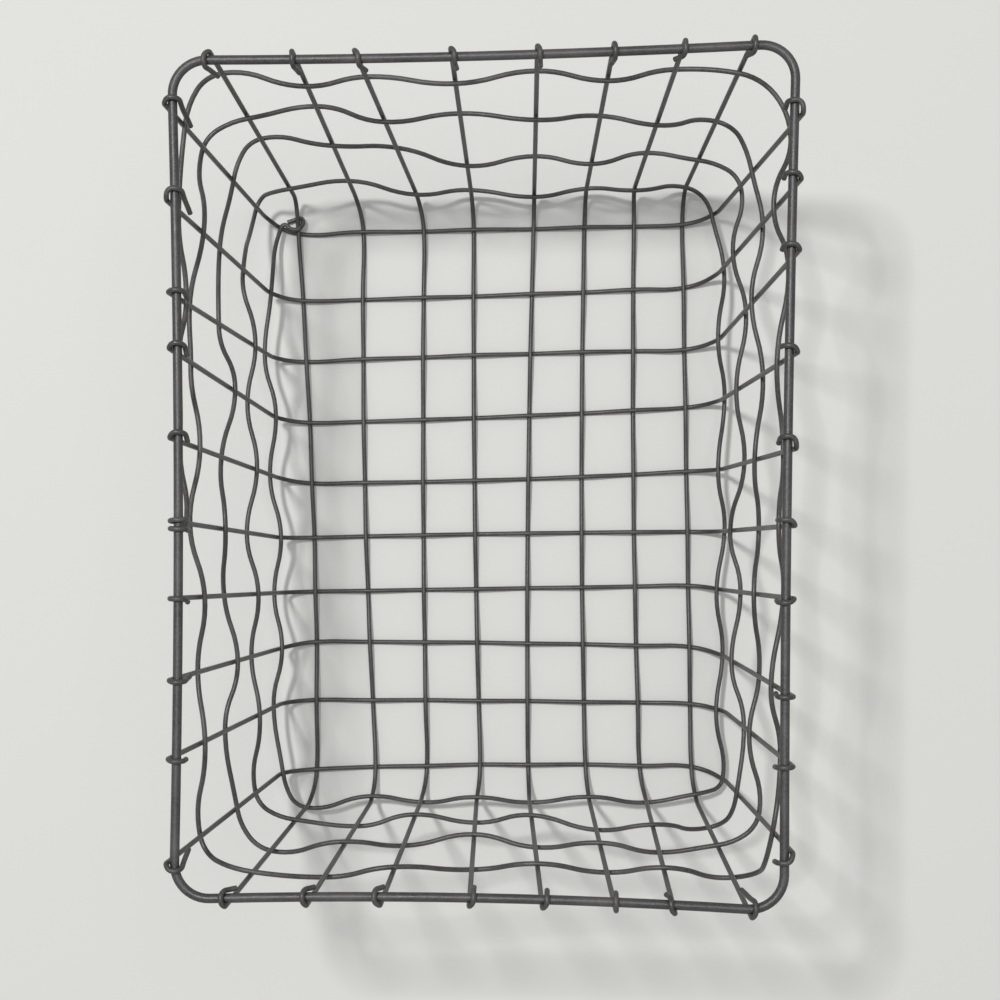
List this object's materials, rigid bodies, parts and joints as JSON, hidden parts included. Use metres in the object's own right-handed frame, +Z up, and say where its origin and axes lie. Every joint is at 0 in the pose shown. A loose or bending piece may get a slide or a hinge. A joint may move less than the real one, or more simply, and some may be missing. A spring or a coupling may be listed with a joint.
{
  "type": "wire locker basket",
  "caption": "Deep rectangular basket of bent round wire: a heavy closed rim, hooked wall wires that cross to make the bottom, and one wire woven round the walls.",
  "frame": {"origin": "middle of the underside of the bottom wires, where the basket stands", "axes": "+X across the basket, +Y along it towards the far end, +Z up out of its mouth"},
  "size_m": [0.2518, 0.3424, 0.2041],
  "materials": {
    "rim_steel": "dull galvanised, satin",
    "wall_steel": "dull galvanised, satin",
    "weaving_steel": "dull galvanised, satin"
  },
  "bodies": {
    "root": {"rim_wire": "rim_steel", "long_wire_1": "wall_steel", "long_wire_2": "wall_steel", "long_wire_3": "wall_steel", "long_wire_4": "wall_steel", "long_wire_5": "wall_steel", "long_wire_6": "wall_steel", "long_wire_7": "wall_steel", "long_wire_8": "wall_steel", "cross_wire_1": "wall_steel", "cross_wire_2": "wall_steel", "cross_wire_3": "wall_steel", "cross_wire_4": "wall_steel", "cross_wire_5": "wall_steel", "cross_wire_6": "wall_steel", "cross_wire_7": "wall_steel", "cross_wire_8": "wall_steel", "cross_wire_9": "wall_steel", "cross_wire_10": "wall_steel", "weaving_wire": "weaving_steel"}
  },
  "joints": []
}
